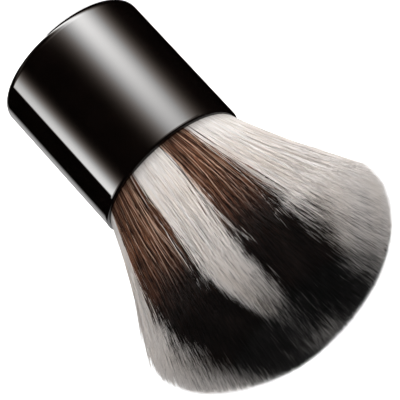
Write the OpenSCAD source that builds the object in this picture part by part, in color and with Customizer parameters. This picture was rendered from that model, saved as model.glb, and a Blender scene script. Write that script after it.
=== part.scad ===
// Kabuki makeup brush: a closed metal handle that holds a wide, domed head of striped bristles.
// It stands on its flat base with the bristles upwards along +Z.
// The origin is the centre of the base, and all sizes are in millimetres.

/* [Handle] */
// Outer diameter of the handle
handle_d = 32; // [26:0.5:42]
// Height of the handle, from the base to the mouth
handle_h = 32.2; // [29:0.1:45]
// Thickness of the drawn wall
shell_wall = 0.6; // [0.5:0.1:1.2]
// Thickness of the base
shell_floor = 1.2; // [0.8:0.1:2]
// Radius of the rounded edge around the base
base_edge_r = 1.9; // [1:0.1:4]
// How far the lip around the mouth stands inwards from the wall
lip_in = 0.3; // [0.2:0.1:1]
// Height of the lip
lip_h = 1.3; // [1:0.1:2.5]
// Radius of the rounded outer edge of the lip
lip_edge_r = 0.7; // [0.3:0.05:0.9]

/* [Weight and liner] */
// Height of the steel weight on the floor of the handle
weight_h = 6; // [2:0.5:8]
// Width of the bevels on the edges of the weight
weight_bevel = 0.6; // [0.2:0.1:1]
// Thickness of the walls of the moulded liner
liner_wall = 1.2; // [0.8:0.1:2]
// Thickness of the floor under the cup of the liner
liner_floor = 1.5; // [1:0.1:3]
// Depth of the cup that takes the bristle roots
cup_depth = 9; // [7:0.5:12]
// Distance from the top of the liner down from the mouth
liner_setback = 5; // [3:0.5:7]
// Number of ribs that stiffen the hollow foot of the liner
rib_count = 6; // [3:1:10]
// Thickness of each rib
rib_t = 1.2; // [0.8:0.1:2]
// Diameter of the post where the ribs meet
post_d = 6; // [4:0.5:10]

/* [Roots] */
// Depth of the resin poured in the cup, under the roots
resin_h = 2.5; // [1:0.25:3.5]
// Thickness of the cord wound around the roots
cord_d = 0.8; // [0.5:0.1:1.2]
// Number of turns of the cord
cord_turns = 5; // [2:1:5]
// Distance from the packed top of the roots down from the mouth
root_recess = 0.5; // [0.2:0.1:1.5]

/* [Bristles] */
// Diameter of the head at its shoulder
head_d = 55.2; // [44:0.1:70]
// Height of the widest part of the head above the mouth
shoulder_h = 27.4; // [22:0.1:32]
// Height of the crown of the head above the mouth
bristle_l = 43.9; // [38:0.1:52]
// Roundness of the dome, where 2 is a true ellipse and a higher value is flatter
dome_power = 1.88; // [1.5:0.02:2.6]
// Depth of the coloured outer tufts at the mouth, around the black core
band_depth = 5.6; // [3:0.1:7]
// Width of a strand at its root
strand_w = 1.5; // [1.4:0.1:2]
// Share of its own place that a strand fills, across
strand_fill = 0.86; // [0.6:0.02:0.94]
// Length of the pointed end of a strand
tip_l = 5; // [3:0.5:12]
// How much the lengths of the strands vary, as a share
tip_scatter = 0.03; // [0:0.01:0.08]
// How far the points of the outer tufts lean outwards, as a share of half a row
tip_lean = 0.8; // [0:0.05:0.9]

/* [Stripes] */
// Angle at which the first dark tuft ends, around the axis
stripe_start = -30; // [-180:1:180]
// Share of the circle for dark tuft 1, in degrees of a full 360
dark_share_1 = 36; // [20:1:60]
// Share of the circle for light tuft 1
light_share_1 = 31; // [20:1:60]
// Share of the circle for dark tuft 2
dark_share_2 = 22; // [20:1:60]
// Share of the circle for light tuft 2
light_share_2 = 70; // [20:1:90]
// Share of the circle for dark tuft 3
dark_share_3 = 30; // [20:1:60]
// Share of the circle for light tuft 3
light_share_3 = 48; // [20:1:60]
// Share of the circle for dark tuft 4
dark_share_4 = 24; // [20:1:60]
// Share of the circle for light tuft 4
light_share_4 = 26; // [20:1:60]
// Share of the circle for dark tuft 5
dark_share_5 = 22; // [20:1:60]
// Share of the circle for light tuft 5
light_share_5 = 51; // [20:1:60]

/* [Fits] */
// Gap left around each piece that is pushed into another
fit_gap = 0.1; // [0.05:0.05:0.2]

/* [Hidden] */
$fn = 96;

// Handle
handle_r = handle_d / 2;
bore_r = handle_r - shell_wall;
lip_r = bore_r - lip_in;
lip_round = min(lip_edge_r, shell_wall + lip_in);
bore_corner_r = max(base_edge_r - shell_wall, 0.2);

// What passes the lip on its way in
insert_r = lip_r - fit_gap;
weight_top = shell_floor + weight_h;
liner_top = handle_h - liner_setback;
cup_floor = liner_top - cup_depth;
cup_r = insert_r - liner_wall;
resin_top = cup_floor + resin_h;

// Roots, squeezed by the cord in the cup and spreading up to the lip
root_r = cup_r - 2 * fit_gap - cord_d;
cord_centre_r = root_r + fit_gap + cord_d / 2;
root_z = handle_h - root_recess;

// Head, measured from the packed top of the roots
head_r = head_d / 2;
shoulder_reach = shoulder_h + root_recess;
dome_h = bristle_l - shoulder_h;
bundle_r = (insert_r * shoulder_reach - head_r * root_recess) / shoulder_h;

// Rows of strands: the outer tufts in straight rows, and the core in rings of triangles
band_in = 1 - band_depth / bundle_r;
core_edge = band_in - fit_gap / bundle_r;
row_count = max(1, round(band_depth / strand_w));
row_step = (1 - band_in) / row_count;
core_rings = max(2, round((bundle_r - band_depth) / (1.35 * strand_w)));

// Stripes around the core, dark and light in turn, drawn clockwise from stripe_start
shares = [
    dark_share_1, light_share_1, dark_share_2, light_share_2, dark_share_3,
    light_share_3, dark_share_4, light_share_4, dark_share_5, light_share_5
];

function total(list, end) = end == 0 ? 0 : list[end - 1] + total(list, end - 1);

function stripe_angle(k) = stripe_start - 360 * total(shares, k) / total(shares, len(shares));

// Height of a full strand above its root, for a place p in a circle of radius 1
function reach(p) =
    shoulder_reach + dome_h * pow(max(0, 1 - pow(norm(p), dome_power)), 1 / dome_power);

// Point of the head above place p, a share t of the way from the roots to the dome
function head_point(p, t) =
    let (spread = bundle_r + (head_r - bundle_r) * t)
    [p.x * spread, p.y * spread, root_z + t * reach(p)];

// Point of the squeezed roots under place p
function root_point(p, z) = [p.x * root_r, p.y * root_r, z];

function middle(ring) = [for (axis = [0, 1]) sum_of(ring, axis, len(ring)) / len(ring)];

function sum_of(ring, axis, end) = end == 0 ? 0 : ring[end - 1][axis] + sum_of(ring, axis, end - 1);

// Points of one strand: its root, the start of its pointed end, and its point
function strand_points(ring, lean, scatter) =
    let (
        centre = middle(ring),
        tip_start = 1 - tip_l / reach(centre),
        tip_place = centre * (1 + lean / norm(centre)),
        outline = [for (p = ring) centre + (p - centre) * strand_fill]
    )
    concat(
        [for (p = outline) head_point(p, 0)],
        [for (p = outline) head_point(p, tip_start - scatter)],
        [head_point(tip_place, 1 - scatter)]
    );

// Block of roots with one strand on each cell of its top.
// places are points in a circle of radius 1, cells are rings of them and rim is their outline,
// all anticlockwise from above, and every cell has as many sides.
module tuft(places, cells, rim, lean, seed) {
    sides = len(cells[0]);
    strand_size = 2 * sides + 1;
    first_strand = len(places);
    first_bend = first_strand + len(cells) * strand_size;
    first_foot = first_bend + len(rim);
    chance = rands(0, tip_scatter, len(cells), seed);

    points = concat(
        [for (p = places) head_point(p, 0)],
        [
            for (c = [0:len(cells) - 1])
            each strand_points([for (i = cells[c]) places[i]], lean, chance[c])
        ],
        [for (i = rim) root_point(places[i], liner_top)],
        [for (p = places) root_point(p, resin_top)]
    );

    strand_faces = [
        for (c = [0:len(cells) - 1], s = [0:sides - 1])
        let (
            next = (s + 1) % sides,
            root = first_strand + c * strand_size,
            neck = root + sides,
            tip = neck + sides
        )
        each [
            [root + s, root + next, cells[c][next]],
            [root + s, cells[c][next], cells[c][s]],
            [root + s, neck + s, neck + next],
            [root + s, neck + next, root + next],
            [neck + s, tip, neck + next]
        ]
    ];
    wall_faces = [
        for (k = [0:len(rim) - 1])
        let (
            next = (k + 1) % len(rim),
            low = first_bend + k,
            low_next = first_bend + next,
            foot = first_foot + rim[k],
            foot_next = first_foot + rim[next]
        )
        each [
            [low, rim[k], rim[next]],
            [low, rim[next], low_next],
            [foot, low, low_next],
            [foot, low_next, foot_next]
        ]
    ];
    foot_faces = [
        for (cell = cells, s = [1:sides - 2])
        [first_foot + cell[0], first_foot + cell[s], first_foot + cell[s + 1]]
    ];
    polyhedron(points = points, faces = concat(strand_faces, wall_faces, foot_faces));
}

// Outer tuft number k, from one stripe angle to the next, in rows of four-sided strands
module stripe_tuft(k) {
    low = stripe_angle(k + 1);
    high = stripe_angle(k);
    count = max(2, round((high - low) * PI / 180 * bundle_r / strand_w));
    across = count + 1;
    places = [
        for (row = [0:row_count], i = [0:count])
        let (angle = low + (high - low) * i / count)
        (band_in + row * row_step) * [cos(angle), sin(angle)]
    ];
    cells = [
        for (row = [0:row_count - 1], i = [0:count - 1])
        let (corner = row * across + i)
        [corner, corner + across, corner + across + 1, corner + 1]
    ];
    rim = concat(
        [for (row = [0:row_count]) row * across],
        [for (i = [1:count]) row_count * across + i],
        [for (row = [1:row_count]) (row_count - row) * across + count],
        [for (i = [1:count - 1]) count - i]
    );
    tuft(places, cells, rim, tip_lean * row_step / 2, k + 1);
}

// Number of the first place on ring k of the core, where ring k holds 6 * k places
function ring_start(k) = k == 0 ? 0 : 1 + 3 * k * (k - 1);

function ring_place(k, i) = k == 0 ? 0 : ring_start(k) + i % (6 * k);

module handle_shell() {
    color("#0b0a0a")
    rotate_extrude()
    difference() {
        union() {
            square([handle_r - base_edge_r, base_edge_r]);
            translate([handle_r - base_edge_r, base_edge_r])
            circle(r = base_edge_r);
            translate([0, base_edge_r])
            square([handle_r, handle_h - lip_round - base_edge_r]);
            translate([0, base_edge_r])
            square([handle_r - lip_round, handle_h - base_edge_r]);
            translate([handle_r - lip_round, handle_h - lip_round])
            circle(r = lip_round);
        }
        translate([0, shell_floor])
        square([bore_r - bore_corner_r, handle_h]);
        translate([0, shell_floor + bore_corner_r])
        square([bore_r, handle_h - lip_h - shell_floor - bore_corner_r]);
        translate([bore_r - bore_corner_r, shell_floor + bore_corner_r])
        circle(r = bore_corner_r);
        translate([0, shell_floor])
        square([lip_r, handle_h]);
    }
}

module base_weight() {
    floor_bevel = max(bore_corner_r, weight_bevel);
    color("#8f9296")
    translate([0, 0, shell_floor])
    rotate_extrude()
    polygon([
        [0, 0],
        [insert_r - floor_bevel, 0],
        [insert_r, floor_bevel],
        [insert_r, weight_h - weight_bevel],
        [insert_r - weight_bevel, weight_h],
        [0, weight_h]
    ]);
}

module liner_cup() {
    foot_h = cup_floor - liner_floor - weight_top;
    color("#3c3d40") {
        rotate_extrude()
        difference() {
            translate([0, weight_top])
            square([insert_r, liner_top - weight_top]);
            translate([0, weight_top])
            square([cup_r, foot_h]);
            translate([0, cup_floor])
            square([cup_r, cup_depth]);
        }
        translate([0, 0, weight_top])
        cylinder(d = post_d, h = foot_h + liner_floor / 2);
        for (i = [0:rib_count - 1])
        rotate(i * 360 / rib_count)
        translate([0, -rib_t / 2, weight_top])
        cube([cup_r + liner_wall / 2, rib_t, foot_h + liner_floor / 2]);
    }
}

module resin_plug() {
    color("#b98a3e")
    translate([0, 0, cup_floor])
    cylinder(r = cup_r - fit_gap, h = resin_h);
}

module root_binding() {
    color("#6b5d4a")
    translate([0, 0, resin_top])
    rotate_extrude()
    union() {
        for (turn = [0:cord_turns - 1])
        translate([cord_centre_r, (turn + 0.5) * cord_d])
        circle(d = cord_d);
        translate([cord_centre_r - 0.5 * cord_d, 0.5 * cord_d])
        square([0.7 * cord_d, (cord_turns - 1) * cord_d]);
    }
}

module core_tuft() {
    places = [
        for (k = [0:core_rings], i = [0:max(0, 6 * k - 1)])
        core_edge * k / core_rings * (k == 0 ? [1, 0] : [cos(60 * i / k), sin(60 * i / k)])
    ];
    outward = [
        for (k = [1:core_rings], sector = [0:5], j = [0:k - 1])
        [
            ring_place(k, sector * k + j),
            ring_place(k, sector * k + j + 1),
            ring_place(k - 1, sector * (k - 1) + j)
        ]
    ];
    inward = [
        for (k = [2:core_rings], sector = [0:5], j = [0:k - 2])
        [
            ring_place(k - 1, sector * (k - 1) + j),
            ring_place(k, sector * k + j + 1),
            ring_place(k - 1, sector * (k - 1) + j + 1)
        ]
    ];
    rim = [for (i = [0:6 * core_rings - 1]) ring_place(core_rings, i)];
    color("#17120f")
    tuft(places, concat(outward, inward), rim, 0, 0);
}

module dark_tuft(number) {
    color("#4a3024")
    stripe_tuft(2 * number - 2);
}

module light_tuft(number) {
    color("#ddd6d0")
    stripe_tuft(2 * number - 1);
}

handle_shell();
base_weight();
liner_cup();
resin_plug();
root_binding();
core_tuft();
dark_tuft(1);  // dark_tuft_1
dark_tuft(2);  // dark_tuft_2
dark_tuft(3);  // dark_tuft_3
dark_tuft(4);  // dark_tuft_4
dark_tuft(5);  // dark_tuft_5
light_tuft(1);  // light_tuft_1
light_tuft(2);  // light_tuft_2
light_tuft(3);  // light_tuft_3
light_tuft(4);  // light_tuft_4
light_tuft(5);  // light_tuft_5
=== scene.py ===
"""A kabuki makeup brush with a gloss-black handle and a striped head of bristles.

The handle and the pieces inside it are the frame's own. Each tuft of bristles is replaced by a
piece of fine separate hairs that fills the same space. All lengths are in metres.
"""

import math
from typing import NamedTuple

import bpy
import numpy as np
from mathutils import Matrix, Vector
from mathutils.kdtree import KDTree


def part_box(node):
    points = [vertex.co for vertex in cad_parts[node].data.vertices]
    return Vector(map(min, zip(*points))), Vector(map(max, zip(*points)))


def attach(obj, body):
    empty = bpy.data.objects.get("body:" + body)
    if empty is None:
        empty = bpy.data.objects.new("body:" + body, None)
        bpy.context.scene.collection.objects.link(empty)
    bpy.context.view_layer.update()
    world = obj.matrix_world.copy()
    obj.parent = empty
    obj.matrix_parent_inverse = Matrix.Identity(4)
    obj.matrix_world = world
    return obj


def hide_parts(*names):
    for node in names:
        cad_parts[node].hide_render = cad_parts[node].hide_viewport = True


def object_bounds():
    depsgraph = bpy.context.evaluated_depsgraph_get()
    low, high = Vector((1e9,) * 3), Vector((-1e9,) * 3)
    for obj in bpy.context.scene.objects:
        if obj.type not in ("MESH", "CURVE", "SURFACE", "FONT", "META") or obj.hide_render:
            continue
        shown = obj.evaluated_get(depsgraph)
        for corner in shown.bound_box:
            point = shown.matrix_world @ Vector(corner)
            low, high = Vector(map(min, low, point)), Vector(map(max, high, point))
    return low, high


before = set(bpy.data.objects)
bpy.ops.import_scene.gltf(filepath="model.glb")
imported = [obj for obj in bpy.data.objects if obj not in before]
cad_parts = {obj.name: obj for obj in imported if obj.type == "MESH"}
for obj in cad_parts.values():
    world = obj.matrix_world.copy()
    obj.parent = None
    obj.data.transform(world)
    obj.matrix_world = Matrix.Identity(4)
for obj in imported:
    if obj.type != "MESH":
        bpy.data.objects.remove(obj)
cad_low, cad_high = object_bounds()

MM = 0.001

# Sizes read from the frame
_, handle_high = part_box("handle_shell")
_, liner_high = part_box("liner_cup")
HANDLE_R = handle_high.x
MOUTH_Z = handle_high.z
INSERT_R = liner_high.x
LINER_TOP = liner_high.z

# How far the fine hairs stand past the solid tufts, at the crown and at the sides
PAST_CROWN = 0.7 * MM
PAST_SIDES = 0.8 * MM

# The head: hairs fan out from the mouth to the shoulder, and their ends make a dome
ROOT_DEPTH = 0.5 * MM
ROOT_Z = MOUTH_Z - ROOT_DEPTH
CROWN_Z = cad_high.z + PAST_CROWN
HEAD_R = cad_high.x + PAST_SIDES
SHOULDER_H = 28.2 * MM
DOME_H = CROWN_Z - ROOT_Z - SHOULDER_H
DOME_POWER = 1.88
FLARE_POWER = 1.10

# The bundle of roots clears the lip, is squeezed in the liner, and bulges above the mouth. The
# bulge comes and goes over these shares of the way up.
LIP_GAP = 0.2 * MM
BUNDLE_R = INSERT_R - LIP_GAP
ROOT_SQUEEZE = 0.86
MOUTH_BULGE = 0.5 * MM
BULGE_RISE = 0.02
BULGE_FALL = 0.25

# Radii in the head are shares of its own radius. The black core ends at this one.
CORE_EDGE = 0.62


class Stripe(NamedTuple):
    """One dark or light tuft, by its kind and its order among that kind.

    Its width and the swing of the border that it starts from are in degrees. The border swings
    anticlockwise on the way from the mouth to the shoulder. A light stripe thins out on the dome,
    by a share for each unit of radius, and may be rounded off from a radius at the border that it
    starts from or at the one that it ends at.
    """

    kind: str
    order: int
    width: float
    swing: float
    thinning: float = 0.0
    start_round: float = 0.0
    end_round: float = 0.0


# Stripes round the core, clockwise from above, the borders between them in degrees clockwise from
# the first one, and which stripes are light
STRIPE_START = -28.0
STRIPES = [
    Stripe("dark", 1, 40.0, swing=-13.5),
    Stripe("light", 1, 27.0, swing=-5.0, thinning=2.3),
    Stripe("dark", 2, 24.0, swing=6.2),
    Stripe("light", 2, 70.0, swing=3.0, thinning=1.7, start_round=0.81),
    Stripe("dark", 3, 30.0, swing=-11.0),
    Stripe("light", 3, 48.0, swing=4.0, thinning=2.1),
    Stripe("dark", 4, 24.0, swing=-5.0),
    Stripe("light", 4, 26.0, swing=1.0, thinning=2.3),
    Stripe("dark", 5, 22.0, swing=14.0),
    Stripe("light", 5, 49.0, swing=20.0, thinning=1.5, end_round=0.775),
]
BORDERS = np.concatenate([[0.0], np.cumsum([stripe.width for stripe in STRIPES])])
IS_LIGHT = np.array([stripe.kind == "light" for stripe in STRIPES])

# The share of the way up at which the borders start to swing, and over which they do so
SWING_START = 0.1
SWING_SPAN = 0.95

# Light hairs on the dome: none lie inside one radius, from which they come in over a depth, and
# from a second radius inwards they thin out, down to a least share. Even a full stripe lets a few
# dark hairs through, and more of them if it thins out fast.
LIGHT_START = 0.40
LIGHT_FADE = 0.15
THIN_FROM = 0.96
LEAST_LIGHT = 0.08
FULL_LIGHT = 0.995
FULL_LIGHT_IF_THIN = 0.985
FAST_THINNING = 2.0

# The rounded ends of light stripes: how much further in they reach away from the border, in radii
# for each square degree, and the depth over which they fade. From the last radius on, hairs lie on
# the side of the head, where nothing is rounded.
ROUNDING = 0.0012
ROUND_FADE = 0.40
SIDE_FROM = 0.97

# The thin band of light hairs across the core: its bearing in degrees clockwise from the first
# border, its width, and the share of light hairs at places along it
CORE_BAND_TURN = 50.0
CORE_BAND_WIDTH = 0.15
CORE_BAND_PLACES = (-0.5, -0.2, -0.1, 0.0, 0.1, 0.2, 0.6)
CORE_BAND_LIGHT = (0.12, 0.18, 0.32, 0.28, 0.16, 0.07, 0.06)


class Hairs(NamedTuple):
    """A kind of hair: how many, between which radii, how wide, and how far they bend and wave.

    The bend and the wave are in degrees round the outside of the head. Rings are shares of the
    length from the mouth, below 0 inside the handle, and the taper is the share of the width that
    is left at each ring.
    """

    count: int
    inner: float
    outer: float
    width: float
    bend: float
    wave: float
    rings: np.ndarray
    taper: np.ndarray
    loose: bool = False


# Long hairs run from inside the handle to the dome, and loose ones lie on their outside. Between
# them are short ones, of which only the ends show on the dome.
LONG = Hairs(
    9500, inner=0.84, outer=1.0, width=0.13 * MM, bend=1.0, wave=0.4,
    rings=np.array([-1.0, 0.0, 0.03, 0.25, 0.5, 0.75, 0.92, 1.0]),
    taper=np.array([0.8, 0.85, 0.9, 1.0, 1.0, 0.9, 0.65, 0.0]),
)
LOOSE = Hairs(
    7000, inner=0.975, outer=1.0, width=0.12 * MM, bend=2.6, wave=0.8,
    rings=np.array([-0.6, 0.0, 0.03, 0.15, 0.3, 0.45, 0.6, 0.75, 0.9, 1.0]),
    taper=np.array([0.8, 0.85, 0.9, 1.0, 1.0, 1.0, 1.0, 0.9, 0.7, 0.0]),
    loose=True,
)
SHORT = Hairs(
    52000, inner=CORE_EDGE, outer=0.96, width=0.12 * MM, bend=0.7, wave=0.3,
    rings=np.array([0.78, 1.0]),
    taper=np.array([1.0, 0.0]),
)
CORE_LONG = Hairs(
    3000, inner=0.0, outer=CORE_EDGE, width=0.30 * MM, bend=0.7, wave=0.3,
    rings=np.array([0.0, 0.6, 0.9, 1.0]),
    taper=np.array([0.8, 1.0, 0.7, 0.0]),
)
CORE_SHORT = SHORT._replace(count=32000, inner=0.0, outer=CORE_EDGE)
OUTER_SEED = 5
CORE_SEED = 7

# How hairs lie. They lean towards the middle of their clump on the way up, and end unevenly by a
# share of their length, more so at the rim. To the side they bend, and wave through so many
# radians, which turns them more near the axis, down to a least radius. They also drift in or out,
# up to a farthest radius, and a few stray further.
CLUMP_SIZE = 0.4 * MM
CLUMP_PULL = 0.25
PULL_POWER = 0.7
UNEVEN_ENDS = 0.016
UNEVEN_RIM = 0.02
RIM_POWER = 10
WAVE_TURN = 8.5
LEAST_RADIUS = 0.15
DRIFT = 0.008
STRAY_SHARE = 0.05
STRAY_BEND = 2.6
STRAY_DRIFT = 0.045
FARTHEST_RADIUS = 1.035

# How far hairs stand across the borders of their stripe, in degrees: whole clumps, single hairs,
# and the share that wanders. Where a stripe thins out, most hairs do so one by one, and the rest
# with their clump.
CLUMP_SWAY = 0.55
HAIR_SWAY = 0.5
WANDER_SHARE = 0.09
WANDER_SWAY = 2.2
ALONE_SHARE = 0.93

# The tone of a hair is its place across the hair map, where streaks and patches lie. It rises by 1
# for so many degrees round the head, starts again after a span, and differs a little from clump to
# clump and from hair to hair. Bright hairs have a tone of their own.
TONE_TURN = 60.0
TONE_SPAN = 0.9
TONE_SHIFT = 0.02
TONE_LOW = 0.005
TONE_HIGH = 0.885
CLUMP_TONE = 0.002
HAIR_TONE = 0.003
LOOSE_TONE_SPAN = 0.85
CORE_TONE_START = 0.01
CORE_TONE_SPAN = 0.88
BRIGHT_TONE = 0.95
BRIGHT_FROM = (0.90, 0.92)
BRIGHT_LOOSE_SHARE = 0.2

# On the hair map each side of a hair has a little width, so that it can be baked, and its length
# keeps off the edges
MAP_STEP = 0.0008
MAP_MARGIN = 0.01


def swing(turned):
    """How far a hair swings on its way to the shoulder, from its angle at the mouth."""
    swings = [stripe.swing for stripe in STRIPES]
    return np.interp(turned, BORDERS, [*swings, swings[0]])


def head_points(turned, radius, share):
    """Points of the head for hairs at an angle and radius of the mouth, a share of the way up.

    The angle is in degrees clockwise from the first border, and the radius is 1 at the outside.
    """
    inside = np.clip(-share, 0.0, 1.0)
    above = np.clip(share, 0.0, None)
    dome = np.clip(1.0 - np.clip(radius, 0.0, 1.0) ** DOME_POWER, 0.0, 1.0)
    reach = SHOULDER_H + DOME_H * dome ** (1.0 / DOME_POWER)
    bulge = MOUTH_BULGE * (1.0 - np.exp(-above / BULGE_RISE)) * np.exp(-above / BULGE_FALL)
    spread = BUNDLE_R + bulge + (HEAD_R - BUNDLE_R) * above**FLARE_POWER
    spread = spread * (1.0 - (1.0 - ROOT_SQUEEZE) * inside) * radius
    rise = np.clip((above - SWING_START) / SWING_SPAN, 0.0, 1.0)
    angle = STRIPE_START - turned + swing(turned) * rise * rise * (3.0 - 2.0 * rise)
    angle = np.radians(angle)
    height = ROOT_Z + above * reach - inside * (ROOT_Z - LINER_TOP)
    return np.stack([spread * np.cos(angle), spread * np.sin(angle), height], axis=-1)


def find_clumps(turned, radius, random):
    """Number of each hair's clump, and each clump's own angle and radius."""
    area = math.pi * BUNDLE_R**2 * (radius.max() ** 2 - radius.min() ** 2)
    count = int(area / CLUMP_SIZE**2)
    chosen = random.choice(len(turned), count, replace=False)
    angle = np.radians(turned)
    places = np.stack([np.cos(angle), np.sin(angle)], axis=-1) * radius[:, None]
    tree = KDTree(count)
    for number, place in enumerate(places[chosen]):
        tree.insert((place[0], place[1], 0.0), number)
    tree.balance()
    clump = np.array([tree.find((x, y, 0.0))[1] for x, y in places])
    return clump, turned[chosen], radius[chosen]


def hair_lines(hairs, turned, radius, clump_turned, clump_radius, random):
    """Centre lines of hairs, as an array of hairs, rings and x, y, z."""
    count = len(turned)
    uneven = UNEVEN_ENDS + UNEVEN_RIM * radius**RIM_POWER
    ends = 1.0 - np.abs(random.normal(0.0, 1.0, count)) * uneven
    share = np.where(hairs.rings > 0.0, hairs.rings * ends[:, None], hairs.rings)
    rise = np.clip(share, 0.0, 1.0)
    pull = random.uniform(0.0, CLUMP_PULL, count)[:, None] * rise**PULL_POWER
    to_clump = (clump_turned - turned + 180.0) % 360.0 - 180.0
    turn = turned[:, None] + to_clump[:, None] * pull
    out = radius[:, None] + (clump_radius - radius)[:, None] * pull

    stray = random.random(count) < STRAY_SHARE
    bend = random.normal(0.0, np.where(stray, STRAY_BEND, hairs.bend), count)
    phase = random.uniform(0.0, 2.0 * math.pi, count)[:, None]
    ripple = hairs.wave * np.sin(rise * WAVE_TURN + phase) * np.sqrt(rise)
    turn = turn + (bend[:, None] * rise + ripple) / np.maximum(out, LEAST_RADIUS)
    drift = random.normal(0.0, np.where(stray, STRAY_DRIFT, DRIFT), count)
    out = np.clip(out + drift[:, None] * rise**2, 0.0, FARTHEST_RADIUS)
    return head_points(turn, out, share)


def hair_shape(hairs, lines, tone, random):
    """Three-sided tapering hairs: their points, faces, face sizes, and tone and length as a map."""
    count, rings, _ = lines.shape
    widths = hairs.taper * hairs.width
    axis = np.zeros_like(lines)
    axis[:, 1:] += lines[:, 1:] - lines[:, :-1]
    axis[:, :-1] += lines[:, 1:] - lines[:, :-1]
    axis /= np.linalg.norm(axis, axis=-1, keepdims=True)
    side = np.cross(axis, np.array([0.0, 1.0, 0.0]))
    side /= np.linalg.norm(side, axis=-1, keepdims=True)
    front = np.cross(side, axis)
    spin = random.uniform(0.0, 2.0 * math.pi, count)
    corners = []
    for k in range(3):
        angle = spin + 2.0 * math.pi * k / 3.0
        offset = side * np.cos(angle)[:, None, None] + front * np.sin(angle)[:, None, None]
        corners.append(lines + offset * widths[None, :, None] * 0.5)
    body = np.stack(corners, axis=2)[:, :-1]
    points = np.concatenate([body.reshape(count, -1, 3), lines[:, -1:]], axis=1)
    per_hair = points.shape[1]

    pattern = []
    for ring in range(rings - 2):
        for k in range(3):
            low, low_next = ring * 3 + k, ring * 3 + (k + 1) % 3
            pattern.append((low, low_next, low_next + 3, low + 3))
    last = (rings - 2) * 3
    tip = per_hair - 1
    pattern += [(last + k, last + (k + 1) % 3, tip) for k in range(3)]
    pattern.append((2, 1, 0))
    corner_list = np.array([corner for face in pattern for corner in face])
    sizes = np.array([len(face) for face in pattern])
    loops = corner_list[None, :] + per_hair * np.arange(count)[:, None]

    ring_of = np.append(np.repeat(np.arange(rings - 1), 3), rings - 1)
    side_of = np.append(np.tile([0.0, 1.0, 2.0], rings - 1), 1.0)
    uv = np.empty((count, len(corner_list), 2), np.float32)
    uv[..., 0] = tone[:, None] + MAP_STEP * side_of[corner_list]
    along = np.clip(hairs.rings[ring_of], 0.0, 1.0)[corner_list]
    uv[..., 1] = MAP_MARGIN + (1.0 - 2.0 * MAP_MARGIN) * along
    return points.reshape(-1, 3), loops.ravel(), np.tile(sizes, count), uv.reshape(-1, 2)


def hair_mesh(name, shapes):
    """One mesh of several lots of hairs."""
    points = np.concatenate([shape[0] for shape in shapes])
    starts = np.concatenate([[0], np.cumsum([len(shape[0]) for shape in shapes])[:-1]])
    loops = np.concatenate([shape[1] + start for shape, start in zip(shapes, starts)])
    sizes = np.concatenate([shape[2] for shape in shapes])
    uv = np.concatenate([shape[3] for shape in shapes])
    mesh = bpy.data.meshes.new(name)
    mesh.vertices.add(len(points))
    mesh.vertices.foreach_set("co", points.astype(np.float32).ravel())
    mesh.loops.add(len(loops))
    mesh.loops.foreach_set("vertex_index", loops.astype(np.int32))
    mesh.polygons.add(len(sizes))
    mesh.polygons.foreach_set("loop_start", (np.cumsum(sizes) - sizes).astype(np.int32))
    mesh.polygons.foreach_set("loop_total", sizes.astype(np.int32))
    mesh.polygons.foreach_set("use_smooth", np.ones(len(sizes), bool))
    for layer_name in ("OFBake", "hair"):
        layer = mesh.uv_layers.new(name=layer_name)
        layer.data.foreach_set("uv", uv.ravel())
    mesh.update(calc_edges=True)
    return mesh


# Materials

# Numbers of the colour sockets of a Mix node, which share their names with its other sockets
MIX_FIRST = 6
MIX_SECOND = 7
MIX_RESULT = 2


def new_material(name):
    """A node material with only its Principled shader, and that shader's node."""
    material = bpy.data.materials.new(name)
    material.use_nodes = True
    return material, material.node_tree.nodes["Principled BSDF"]


def add_node(tree, kind, values=None, **settings):
    """A new node with its input values and its settings."""
    node = tree.nodes.new(kind)
    for key, value in settings.items():
        setattr(node, key, value)
    for key, value in (values or {}).items():
        node.inputs[key].default_value = value
    return node


def calculate(tree, operation, *terms):
    """Output of a Math node. Each term is a number or another node's output."""
    node = add_node(tree, "ShaderNodeMath", operation=operation)
    for socket, term in zip(node.inputs, terms):
        if isinstance(term, (int, float)):
            socket.default_value = term
        else:
            tree.links.new(term, socket)
    return node.outputs["Value"]


def map_range(tree, value, low, high, to_low=0.0, to_high=1.0):
    """Output of a Map Range node that clamps."""
    node = add_node(
        tree, "ShaderNodeMapRange",
        {"From Min": low, "From Max": high, "To Min": to_low, "To Max": to_high},
    )
    tree.links.new(value, node.inputs["Value"])
    return node.outputs["Result"]


def mix_colours(tree, factor, first, second):
    """Output of a colour Mix node, from the first colour at 0 to the second at 1."""
    node = add_node(tree, "ShaderNodeMix", data_type="RGBA")
    tree.links.new(factor, node.inputs["Factor"])
    tree.links.new(first, node.inputs[MIX_FIRST])
    tree.links.new(second, node.inputs[MIX_SECOND])
    return node.outputs[MIX_RESULT]


def colour_ramp(tree, stops, factor):
    """Output of a colour ramp with (position, colour) stops."""
    node = add_node(tree, "ShaderNodeValToRGB")
    ramp = node.color_ramp
    while len(ramp.elements) < len(stops):
        ramp.elements.new(0.5)
    for element, (position, colour) in zip(ramp.elements, stops):
        element.position = position
        element.color = (*colour, 1.0)
    tree.links.new(factor, node.inputs["Fac"])
    return node.outputs["Color"]


# Streaks and patches of hair: how often they change across the tones and along a hair, where in
# the noise they lie, and how far from its middle the noise turns fully dark or light. Wide streaks
# make up a share of the mix and fine ones the rest, and the mix darkens over a range.
WIDE_STREAKS = (60.0, 1.2, 3.0, 0.06)
FINE_STREAKS = (260.0, 3.0, 17.0, 0.04)
WARM_PATCHES = (7.0, 1.3, 41.0, 0.15)
WIDE_SHARE = 0.38
STREAK_RANGE = (0.28, 0.72)
STREAK_DETAIL = 1.0
HAIR_ROUGHNESS = 0.45


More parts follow.
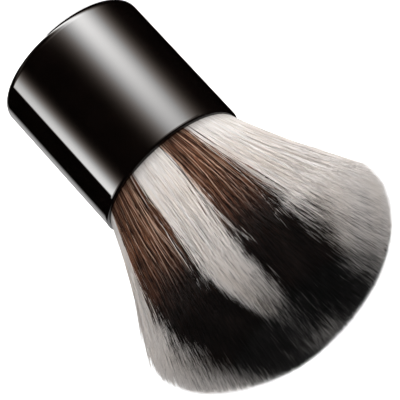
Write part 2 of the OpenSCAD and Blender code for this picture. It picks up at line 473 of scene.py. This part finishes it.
def hair_streaks_group():
    """Node group: the streaks and patches of a tuft, from each hair's tone and its length."""
    group = bpy.data.node_groups.new("hair streaks", "ShaderNodeTree")
    for name in ("Streak", "Patch", "Length", "Tone"):
        group.interface.new_socket(name, in_out="OUTPUT", socket_type="NodeSocketFloat")
    uv = add_node(group, "ShaderNodeUVMap", uv_map="hair").outputs["UV"]

    def noise(across, along, shift, contrast):
        stretch = add_node(group, "ShaderNodeVectorMath", operation="MULTIPLY_ADD")
        group.links.new(uv, stretch.inputs[0])
        stretch.inputs[1].default_value = (across, along, 1.0)
        stretch.inputs[2].default_value = (shift, shift, shift)
        texture = add_node(group, "ShaderNodeTexNoise", {"Scale": 1.0, "Detail": STREAK_DETAIL})
        group.links.new(stretch.outputs["Vector"], texture.inputs["Vector"])
        return map_range(group, texture.outputs["Fac"], 0.5 - contrast, 0.5 + contrast)

    fine = calculate(group, "MULTIPLY", noise(*FINE_STREAKS), 1.0 - WIDE_SHARE)
    streak = calculate(group, "MULTIPLY_ADD", noise(*WIDE_STREAKS), WIDE_SHARE, fine)
    streak = map_range(group, streak, *STREAK_RANGE)
    patch = noise(*WARM_PATCHES)
    parts = add_node(group, "ShaderNodeSeparateXYZ")
    group.links.new(uv, parts.inputs["Vector"])
    outputs = add_node(group, "NodeGroupOutput")
    group.links.new(streak, outputs.inputs["Streak"])
    group.links.new(patch, outputs.inputs["Patch"])
    group.links.new(parts.outputs["Y"], outputs.inputs["Length"])
    group.links.new(parts.outputs["X"], outputs.inputs["Tone"])
    return group


HAIR_STREAKS = hair_streaks_group()


def hair_material(name, cool, warm, shade, bright, depth, gloss):
    """Hair whose colours run from root to tip, with warm patches, dark streaks and bright hairs.

    The first four are colours along the hair. Where they start darker at the root, that is painted
    shade of the roots inside the mouth. The depth is how dark the streaks are.
    """
    material, shader = new_material(name)
    tree = material.node_tree
    group = add_node(tree, "ShaderNodeGroup", node_tree=HAIR_STREAKS)
    length = group.outputs["Length"]
    patched = mix_colours(
        tree, group.outputs["Patch"],
        colour_ramp(tree, cool, length), colour_ramp(tree, warm, length),
    )
    amount = calculate(tree, "MULTIPLY", group.outputs["Streak"], depth)
    colour = mix_colours(tree, amount, patched, colour_ramp(tree, shade, length))
    is_bright = map_range(tree, group.outputs["Tone"], *BRIGHT_FROM)
    colour = mix_colours(tree, is_bright, colour, colour_ramp(tree, bright, length))
    tree.links.new(colour, shader.inputs["Base Color"])
    shader.inputs["Roughness"].default_value = HAIR_ROUGHNESS
    shader.inputs["Specular IOR Level"].default_value = gloss
    return material


# Its stops up to a tenth of the length are darker: painted shade of the roots inside the mouth.
dark_hair = hair_material(
    "dark hair",
    cool=[
        (0.0, (0.022, 0.011, 0.008)), (0.03, (0.055, 0.025, 0.016)),
        (0.10, (0.145, 0.064, 0.038)), (0.4, (0.165, 0.074, 0.045)),
        (0.65, (0.128, 0.057, 0.037)), (0.85, (0.056, 0.027, 0.020)),
        (0.94, (0.020, 0.015, 0.014)), (0.97, (0.011, 0.010, 0.010)),
    ],
    warm=[
        (0.0, (0.026, 0.012, 0.008)), (0.03, (0.070, 0.031, 0.018)),
        (0.10, (0.195, 0.086, 0.048)), (0.4, (0.225, 0.100, 0.056)),
        (0.65, (0.182, 0.080, 0.046)), (0.85, (0.076, 0.035, 0.024)),
        (0.94, (0.026, 0.018, 0.016)), (0.97, (0.018, 0.016, 0.016)),
    ],
    shade=[
        (0.0, (0.006, 0.003, 0.002)), (0.10, (0.020, 0.008, 0.005)),
        (0.4, (0.023, 0.009, 0.006)), (0.65, (0.018, 0.008, 0.006)),
        (0.85, (0.009, 0.006, 0.005)), (0.97, (0.004, 0.004, 0.004)),
    ],
    # The bright hairs of the dark tufts are lighter single hairs, and their greyish colour also
    # paints glints of light on the tufts.
    bright=[
        (0.0, (0.08, 0.050, 0.035)), (0.10, (0.48, 0.310, 0.220)),
        (0.5, (0.54, 0.360, 0.270)), (0.75, (0.30, 0.200, 0.155)),
        (0.90, (0.07, 0.052, 0.047)), (0.97, (0.045, 0.042, 0.041)),
    ],
    depth=1.35,
    gloss=0.035,
)
# Its stops up to a tenth of the length are darker: painted shade of the roots inside the mouth.
light_hair = hair_material(
    "light hair",
    cool=[
        (0.0, (0.32, 0.30, 0.29)), (0.10, (0.76, 0.73, 0.72)), (0.3, (0.80, 0.76, 0.75)),
        (0.6, (0.80, 0.76, 0.75)), (0.93, (0.83, 0.79, 0.77)), (1.0, (0.72, 0.68, 0.66)),
    ],
    warm=[
        (0.0, (0.32, 0.29, 0.27)), (0.10, (0.77, 0.72, 0.67)), (0.3, (0.81, 0.74, 0.68)),
        (0.6, (0.81, 0.74, 0.68)), (0.93, (0.83, 0.76, 0.70)), (1.0, (0.72, 0.65, 0.59)),
    ],
    shade=[
        (0.0, (0.14, 0.12, 0.11)), (0.08, (0.30, 0.27, 0.26)), (0.25, (0.72, 0.67, 0.65)),
        (0.55, (0.70, 0.64, 0.61)), (0.75, (0.38, 0.34, 0.32)), (1.0, (0.24, 0.21, 0.20)),
    ],
    bright=[
        (0.0, (0.40, 0.38, 0.37)), (0.10, (0.80, 0.78, 0.77)), (1.0, (0.84, 0.81, 0.79)),
    ],
    depth=0.28,
    gloss=0.12,
)
black_hair = hair_material(
    "black hair",
    cool=[(0.0, (0.010, 0.008, 0.008)), (1.0, (0.010, 0.010, 0.010))],
    warm=[(0.0, (0.015, 0.010, 0.009)), (1.0, (0.026, 0.024, 0.024))],
    shade=[(0.0, (0.003, 0.003, 0.003)), (1.0, (0.003, 0.003, 0.003))],
    bright=[(0.0, (0.60, 0.57, 0.55)), (1.0, (0.55, 0.52, 0.50))],
    depth=1.0,
    gloss=0.12,
)

# Grain of the plain finishes: its detail, the range of the noise over which colour and roughness
# change, and the strength of its bumps
GRAIN_DETAIL = 3.0
GRAIN_LOW = 0.3
GRAIN_HIGH = 0.7
GRAIN_BUMP = 0.4


def surface_grain_group():
    """Node group: grain over the object's own coordinates, at a scale and with a stretch."""
    group = bpy.data.node_groups.new("surface grain", "ShaderNodeTree")
    group.interface.new_socket("Scale", in_out="INPUT", socket_type="NodeSocketFloat")
    group.interface.new_socket("Stretch", in_out="INPUT", socket_type="NodeSocketVector")
    group.interface.new_socket("Grain", in_out="OUTPUT", socket_type="NodeSocketFloat")
    inputs = add_node(group, "NodeGroupInput")
    place = add_node(group, "ShaderNodeTexCoord")
    mapping = add_node(group, "ShaderNodeMapping")
    group.links.new(place.outputs["Object"], mapping.inputs["Vector"])
    group.links.new(inputs.outputs["Stretch"], mapping.inputs["Scale"])
    noise = add_node(group, "ShaderNodeTexNoise", {"Detail": GRAIN_DETAIL})
    group.links.new(mapping.outputs["Vector"], noise.inputs["Vector"])
    group.links.new(inputs.outputs["Scale"], noise.inputs["Scale"])
    outputs = add_node(group, "NodeGroupOutput")
    group.links.new(noise.outputs["Fac"], outputs.inputs["Grain"])
    return group


SURFACE_GRAIN = surface_grain_group()


def finish(name, colours, scale, roughness, metallic=0.0, bump=0.0, stretch=(1.0, 1.0, 1.0)):
    """A plain finish whose colour and roughness vary a little over the surface."""
    material, shader = new_material(name)
    tree = material.node_tree
    group = add_node(
        tree, "ShaderNodeGroup", {"Scale": scale, "Stretch": stretch}, node_tree=SURFACE_GRAIN
    )
    grain = group.outputs["Grain"]
    stops = list(zip((GRAIN_LOW, GRAIN_HIGH), colours))
    tree.links.new(colour_ramp(tree, stops, grain), shader.inputs["Base Color"])
    rough = map_range(tree, grain, GRAIN_LOW, GRAIN_HIGH, *roughness)
    tree.links.new(rough, shader.inputs["Roughness"])
    shader.inputs["Metallic"].default_value = metallic
    if bump:
        bumps = add_node(tree, "ShaderNodeBump", {"Strength": GRAIN_BUMP, "Distance": bump})
        tree.links.new(grain, bumps.inputs["Height"])
        tree.links.new(bumps.outputs["Normal"], shader.inputs["Normal"])
    return material


lacquer = finish(
    "gloss black lacquer", [(0.0016, 0.0010, 0.0008), (0.0024, 0.0015, 0.0012)],
    scale=240.0, roughness=(0.035, 0.055),
)
turned_steel = finish(
    "turned steel", [(0.50, 0.51, 0.52), (0.60, 0.61, 0.63)],
    scale=900.0, roughness=(0.25, 0.42), metallic=1.0, bump=0.01 * MM, stretch=(0.2, 0.2, 3.0),
)
liner_plastic = finish(
    "moulded liner plastic", [(0.040, 0.040, 0.045), (0.060, 0.060, 0.066)],
    scale=500.0, roughness=(0.45, 0.60), bump=0.02 * MM,
)
set_resin = finish(
    "set resin", [(0.40, 0.20, 0.04), (0.52, 0.30, 0.08)],
    scale=180.0, roughness=(0.10, 0.22),
)
waxed_cord = finish(
    "waxed cord", [(0.10, 0.075, 0.05), (0.22, 0.17, 0.12)],
    scale=1500.0, roughness=(0.55, 0.75), bump=0.05 * MM, stretch=(1.0, 1.0, 0.4),
)

for node, material in (
    ("handle_shell", lacquer),
    ("base_weight", turned_steel),
    ("liner_cup", liner_plastic),
    ("resin_plug", set_resin),
    ("root_binding", waxed_cord),
):
    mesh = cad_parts[node].data
    mesh.materials.clear()
    mesh.materials.append(material)


# Bristles

def sample_places(count, inner, outer, random):
    """Angles in degrees clockwise from the first border, and radii, spread evenly."""
    return random.uniform(0.0, 360.0, count), np.sqrt(random.uniform(inner**2, outer**2, count))


def place_in_stripe(turned):
    """Number of the stripe at an angle, and the degrees to the borders it starts and ends at."""
    number = np.clip(np.searchsorted(BORDERS, turned, side="right") - 1, 0, len(STRIPES) - 1)
    return number, turned - BORDERS[number], BORDERS[number + 1] - turned


def light_share(turned, radius):
    """Share of light hairs among the others at a place of the dome."""
    number, from_start, from_end = place_in_stripe(turned)
    thinning = np.array([stripe.thinning for stripe in STRIPES])[number]
    start_round = np.array([stripe.start_round for stripe in STRIPES])[number]
    end_round = np.array([stripe.end_round for stripe in STRIPES])[number]
    full = np.where(thinning > FAST_THINNING, FULL_LIGHT_IF_THIN, FULL_LIGHT)
    share = np.clip(1.0 - thinning * (THIN_FROM - radius), LEAST_LIGHT, full)
    share = share * np.clip((radius - LIGHT_START) / LIGHT_FADE, 0.0, 1.0)
    for edge, away in ((start_round, from_start), (end_round, from_end)):
        inner = edge - ROUNDING * away**2
        rounded = np.clip((radius - inner) / ROUND_FADE, 0.0, 1.0)
        share = share * np.where(radius < SIDE_FROM, rounded, 1.0)
    return np.where(IS_LIGHT[number], share, 0.0)


def stripe_of(turned, radius, chance):
    """Number of the stripe of each hair. Where a light stripe thins out, dark hairs take over."""
    number, from_start, from_end = place_in_stripe(turned)
    thinned = IS_LIGHT[number] & (chance > light_share(turned, radius))
    neighbour = (number + np.where(from_start < from_end, -1, 1)) % len(STRIPES)
    return np.where(thinned, neighbour, number)


def light_share_in_core(turned, radius):
    """Share of light hairs among the black ones: the stripes' inner ends, and a thin band."""
    angle = np.radians(turned - CORE_BAND_TURN)
    across, along = radius * np.sin(angle), radius * np.cos(angle)
    band = np.interp(along, CORE_BAND_PLACES, CORE_BAND_LIGHT)
    band = band * np.exp(-((across / CORE_BAND_WIDTH) ** 2))
    return light_share(turned, radius) + band


def add_piece(mesh, material, node):
    """A piece on the root body, in place of a CAD node."""
    mesh.materials.append(material)
    piece = bpy.data.objects.new(mesh.name, mesh)
    bpy.context.scene.collection.objects.link(piece)
    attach(piece, "root")
    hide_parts(node)


def make_hairs(hairs, random):
    """A lot of hairs: their angles, radii, tones, centre lines and stripes."""
    count = hairs.count
    turned, radius = sample_places(count, hairs.inner, hairs.outer, random)
    clump, clump_turned, clump_radius = find_clumps(turned, radius, random)
    lines = hair_lines(
        hairs, turned, radius, clump_turned[clump], clump_radius[clump], random
    )

    wanders = random.random(count) < WANDER_SHARE
    sway = random.normal(0.0, CLUMP_SWAY, len(clump_turned))[clump]
    sway = sway + random.normal(0.0, np.where(wanders, WANDER_SWAY, HAIR_SWAY), count)
    alone = random.random(count) < ALONE_SHARE
    chance = np.where(alone, random.random(count), random.random(len(clump_turned))[clump])
    stripe = stripe_of((clump_turned[clump] + sway) % 360.0, radius, chance)

    tone = turned / TONE_TURN % TONE_SPAN
    tone = tone + random.normal(0.0, CLUMP_TONE, len(clump_turned))[clump]
    tone = tone + random.normal(0.0, HAIR_TONE, count)
    if hairs.loose:
        tone = random.uniform(0.0, LOOSE_TONE_SPAN, count)
    tone = np.clip(tone + TONE_SHIFT, TONE_LOW, TONE_HIGH)
    if hairs.loose:
        tone[random.random(count) < BRIGHT_LOOSE_SHARE] = BRIGHT_TONE
    return turned, radius, tone, lines, stripe


def make_outer_tufts():
    """The dark and light tufts round the core."""
    random = np.random.default_rng(OUTER_SEED)
    lots = [(hairs, *make_hairs(hairs, random)) for hairs in (LONG, LOOSE, SHORT)]
    for number, stripe in enumerate(STRIPES):
        shapes = [
            hair_shape(hairs, lines[owner == number], tone[owner == number], random)
            for hairs, _, _, tone, lines, owner in lots
        ]
        mesh = hair_mesh(f"{stripe.kind}_hair_{stripe.order}", shapes)
        material = dark_hair if stripe.kind == "dark" else light_hair
        add_piece(mesh, material, f"{stripe.kind}_tuft_{stripe.order}")


def make_core():
    """The black hairs inside the tufts, with a few light ones among the short ones."""
    random = np.random.default_rng(CORE_SEED)
    shapes = []
    for hairs in (CORE_LONG, CORE_SHORT):
        turned, radius, _, lines, _ = make_hairs(hairs, random)
        tone = CORE_TONE_START + CORE_TONE_SPAN * turned / 360.0
        if hairs is CORE_SHORT:
            is_light = random.random(hairs.count) < light_share_in_core(turned, radius)
            tone[is_light] = BRIGHT_TONE
        shapes.append(hair_shape(hairs, lines, tone, random))
    add_piece(hair_mesh("core_hair", shapes), black_hair, "core_tuft")


make_outer_tufts()
make_core()

# Camera: looks along +Y and down, rolled so that the bristles point to the lower right

CAMERA_ELEVATION = 20.0
CAMERA_ROLL = 137.53
CAMERA_DISTANCE = 500 * MM
AIM_Z = 38 * MM
AIM_RIGHT = 1.22 * MM
AIM_DOWN = 1.09 * MM
HANDLE_R_IN_PIXELS = 85.22
SENSOR_WIDTH = 36.0
IMAGE_WIDTH = 400.0

elevation = math.radians(CAMERA_ELEVATION)
roll = math.radians(CAMERA_ROLL)
forward = Vector((0.0, math.cos(elevation), -math.sin(elevation)))
level_right = Vector((1.0, 0.0, 0.0))
level_up = level_right.cross(forward)
right = level_right * math.cos(roll) + level_up * math.sin(roll)
up = right.cross(forward)
aim = Vector((0.0, 0.0, AIM_Z)) + right * AIM_RIGHT - up * AIM_DOWN

camera_data = bpy.data.cameras.new("camera")
camera_data.sensor_width = SENSOR_WIDTH
camera_data.lens = (
    HANDLE_R_IN_PIXELS * CAMERA_DISTANCE / HANDLE_R * SENSOR_WIDTH / IMAGE_WIDTH
)
camera_data.clip_start = 10 * MM
camera = bpy.data.objects.new("camera", camera_data)
camera.matrix_world = Matrix.Translation(aim - forward * CAMERA_DISTANCE) @ Matrix(
    (right, up, -forward)
).transposed().to_4x4()
bpy.context.scene.collection.objects.link(camera)
bpy.context.scene.camera = camera

# Light: a pale surround, soft lamps, and a dark tent with soft strips for the gloss


def add_lamp(name, bearing, height, distance, size, energy):
    """A square soft lamp at a bearing in degrees, which faces the brush."""
    turn = math.radians(bearing)
    place = Vector((distance * math.cos(turn), distance * math.sin(turn), height))
    data = bpy.data.lights.new(name, "AREA")
    data.shape = "SQUARE"
    data.size = size
    data.energy = energy
    lamp = bpy.data.objects.new(name, data)
    lamp.location = place
    lamp.rotation_mode = "QUATERNION"
    lamp.rotation_quaternion = (Vector((0.0, 0.0, AIM_Z)) - place).to_track_quat("-Z", "Y")
    lamp.visible_camera = False
    lamp.visible_glossy = False
    bpy.context.scene.collection.objects.link(lamp)


add_lamp("key lamp", bearing=-134.0, height=0.08, distance=0.65, size=0.18, energy=2.8)
add_lamp("fill lamp", bearing=-88.0, height=0.45, distance=0.65, size=0.45, energy=3.2)
add_lamp("side lamp", bearing=-55.0, height=0.25, distance=0.65, size=0.45, energy=0.5)
add_lamp("right back lamp", bearing=42.0, height=0.35, distance=1.10, size=0.20, energy=1.3)
add_lamp("back lamp", bearing=92.0, height=0.35, distance=1.20, size=0.20, energy=7.0)
add_lamp("left back lamp", bearing=142.0, height=0.35, distance=1.10, size=0.20, energy=2.2)

# The surround and the floor are white to look at. As light on the brush they are weaker.
SURROUND_LIGHT = 0.26
FLOOR_GLOW = 0.72
FLOOR_GREY = 0.93
FLOOR_ROUGHNESS = 0.9
FLOOR_HALF = 3.0


def ray_of_background(tree):
    """1 for camera, glossy and transmission rays, which show the white surround, and else 0."""
    path = add_node(tree, "ShaderNodeLightPath")
    seen = calculate(
        tree, "MAXIMUM", path.outputs["Is Camera Ray"], path.outputs["Is Glossy Ray"]
    )
    return calculate(tree, "MAXIMUM", seen, path.outputs["Is Transmission Ray"])


def make_world():
    """White to look at, and a softer grey as light."""
    world = bpy.data.worlds.new("studio")
    world.use_nodes = True
    tree = world.node_tree
    tree.nodes.clear()
    surround = add_node(tree, "ShaderNodeBackground", {"Color": (1.0, 1.0, 1.0, 1.0)})
    strength = map_range(tree, ray_of_background(tree), 0.0, 1.0, SURROUND_LIGHT, 1.0)
    tree.links.new(strength, surround.inputs["Strength"])
    output = add_node(tree, "ShaderNodeOutputWorld")
    tree.links.new(surround.outputs["Background"], output.inputs["Surface"])
    bpy.context.scene.world = world


def make_floor():
    """A pale floor under the base, which shows the brush's shadow and stays out of its gloss."""
    material, shader = new_material("pale floor")
    tree = material.node_tree
    shader.inputs["Base Color"].default_value = (FLOOR_GREY, FLOOR_GREY, FLOOR_GREY, 1.0)
    shader.inputs["Roughness"].default_value = FLOOR_ROUGHNESS
    shader.inputs["Specular IOR Level"].default_value = 0.0
    shader.inputs["Emission Color"].default_value = (1.0, 1.0, 1.0, 1.0)
    glow = calculate(tree, "MULTIPLY", ray_of_background(tree), FLOOR_GLOW)
    tree.links.new(glow, shader.inputs["Emission Strength"])
    mesh = bpy.data.meshes.new("floor")
    corners = [
        (x * FLOOR_HALF, y * FLOOR_HALF, 0.0) for x, y in ((-1, -1), (1, -1), (1, 1), (-1, 1))
    ]
    mesh.from_pydata(corners, [], [(0, 1, 2, 3)])
    mesh.materials.append(material)
    floor = bpy.data.objects.new("floor", mesh)
    bpy.context.scene.collection.objects.link(floor)
    floor.visible_glossy = False


# The tent's radius, and its profile from the bottom up, as shares of the radius and heights
TENT_R = 2.0
TENT_SIDES = 96
TENT_PROFILE = [(0.02, -3.2), (1.0, -2.4), (1.0, -0.8), (1.0, 1.2)]

# Soft strips of the tent: bearing in degrees, spread in degrees, strength
WIDE_STRIP = (-138.0, 16.0, 15.6)
NARROW_STRIP = (-3.5, 9.7, 12.8)
BACK_STRIP = (83.0, 4.0, 10.0)
EDGE_STRIP = (-122.0, 20.0, 3.0)

# Bearings between which the narrow strip ends, and the pale side of the tent starts and ends
NARROW_STRIP_END = (0.5, 2.5)
PALE_SIDE_START = (45.0, 53.0)
PALE_SIDE_END = (80.0, 98.0)
PALE_SIDE_STRENGTH = 1.15

# Heights between which the strips change. Seen as in the photograph, the handle's barrel mirrors
# the first range from its base to its mouth. Its rounded base edge mirrors what lies lower.
BARREL_VIEW = (-0.92, -0.74)
WIDE_LEVELS = (1.15, 0.6)
NARROW_LEVELS = (0.7, 1.05)
NARROW_START = (-1.3, -1.0)
NARROW_LEAST = 0.05
EDGE_START = (-2.0, -1.5)
EDGE_END = (-0.97, -0.90)
LOWER_END = (-0.42, -0.22)
UPPER_START = (-0.10, 0.0)
UPPER_END = (0.4, 0.6)
UPPER_LEVEL = 0.5

# Glow of the tent by its strength: warm where it is faint, and white where it is strong
TENT_GLOW = [(0.0, (1.0, 0.80, 0.66)), (0.1, (1.0, 0.88, 0.80)), (0.4, (1.0, 0.99, 0.98))]


def tent_mesh():
    """A wall with a closed top, which narrows towards its open bottom."""
    points = [
        (TENT_R * width * math.cos(turn), TENT_R * width * math.sin(turn), height)
        for width, height in TENT_PROFILE
        for turn in (2.0 * math.pi * i / TENT_SIDES for i in range(TENT_SIDES))
    ]
    faces = []
    for ring in range(len(TENT_PROFILE) - 1):
        for i in range(TENT_SIDES):
            low, low_next = ring * TENT_SIDES + i, ring * TENT_SIDES + (i + 1) % TENT_SIDES
            faces.append((low, low + TENT_SIDES, low_next + TENT_SIDES, low_next))
    top = (len(TENT_PROFILE) - 1) * TENT_SIDES
    faces.append(tuple(top + i for i in range(TENT_SIDES)))
    mesh = bpy.data.meshes.new("tent")
    mesh.from_pydata(points, [], faces)
    return mesh


def tent_material():
    """A glow in soft strips, which fade by bearing and by height."""
    material = bpy.data.materials.new("tent")
    material.use_nodes = True
    tree = material.node_tree
    tree.nodes.clear()
    place = add_node(tree, "ShaderNodeTexCoord")
    parts = add_node(tree, "ShaderNodeSeparateXYZ")
    tree.links.new(place.outputs["Object"], parts.inputs["Vector"])
    height = parts.outputs["Z"]
    turn = calculate(tree, "ARCTAN2", parts.outputs["Y"], parts.outputs["X"])
    bearing = calculate(tree, "MULTIPLY", turn, 180.0 / math.pi)

    def times(first, second):
        return calculate(tree, "MULTIPLY", first, second)

    def plus(first, second):
        return calculate(tree, "ADD", first, second)

    def by_height(heights, low, high):
        return map_range(tree, height, *heights, low, high)

    def by_bearing(bearings, low, high):
        return map_range(tree, bearing, *bearings, low, high)

    def strip(centre, spread, strength):
        off = calculate(tree, "WRAP", calculate(tree, "SUBTRACT", bearing, centre), 180.0, -180.0)
        off = calculate(tree, "DIVIDE", off, spread)
        fall = calculate(tree, "EXPONENT", times(times(off, off), -0.5))
        return times(fall, strength)

    wide = times(strip(*WIDE_STRIP), by_height(BARREL_VIEW, *WIDE_LEVELS))
    level = times(by_bearing(NARROW_STRIP_END, 1.0, 0.0), by_height(BARREL_VIEW, *NARROW_LEVELS))
    narrow = times(strip(*NARROW_STRIP), level)
    narrow = times(narrow, by_height(NARROW_START, NARROW_LEAST, 1.0))
    edge = times(by_height(EDGE_END, 1.0, 0.0), by_height(EDGE_START, 0.0, 1.0))
    edge = times(strip(*EDGE_STRIP), edge)
    strips = plus(wide, plus(narrow, strip(*BACK_STRIP)))
    lower = by_height(LOWER_END, 1.0, 0.0)
    upper = times(by_height(UPPER_START, 0.0, UPPER_LEVEL), by_height(UPPER_END, 1.0, 0.0))
    strips = plus(times(strips, plus(lower, upper)), edge)
    pale = times(
        by_bearing(PALE_SIDE_START, 0.0, PALE_SIDE_STRENGTH), by_bearing(PALE_SIDE_END, 1.0, 0.0)
    )

    warmth = calculate(tree, "MULTIPLY_ADD", strips, 1.0 / WIDE_STRIP[2], pale)
    glow = add_node(tree, "ShaderNodeEmission")
    tree.links.new(colour_ramp(tree, TENT_GLOW, warmth), glow.inputs["Color"])
    tree.links.new(plus(strips, pale), glow.inputs["Strength"])
    output = add_node(tree, "ShaderNodeOutputMaterial")
    tree.links.new(glow.outputs["Emission"], output.inputs["Surface"])
    return material


def make_tent():
    """A dark tent round the set with soft light strips, which only the gloss of the brush shows."""
    mesh = tent_mesh()
    mesh.materials.append(tent_material())
    tent = bpy.data.objects.new("tent", mesh)
    bpy.context.scene.collection.objects.link(tent)
    tent.visible_camera = False
    tent.visible_diffuse = False
    tent.visible_transmission = False
    tent.visible_shadow = False


make_world()
make_floor()
make_tent()

bpy.context.scene.view_settings.view_transform = "Standard"
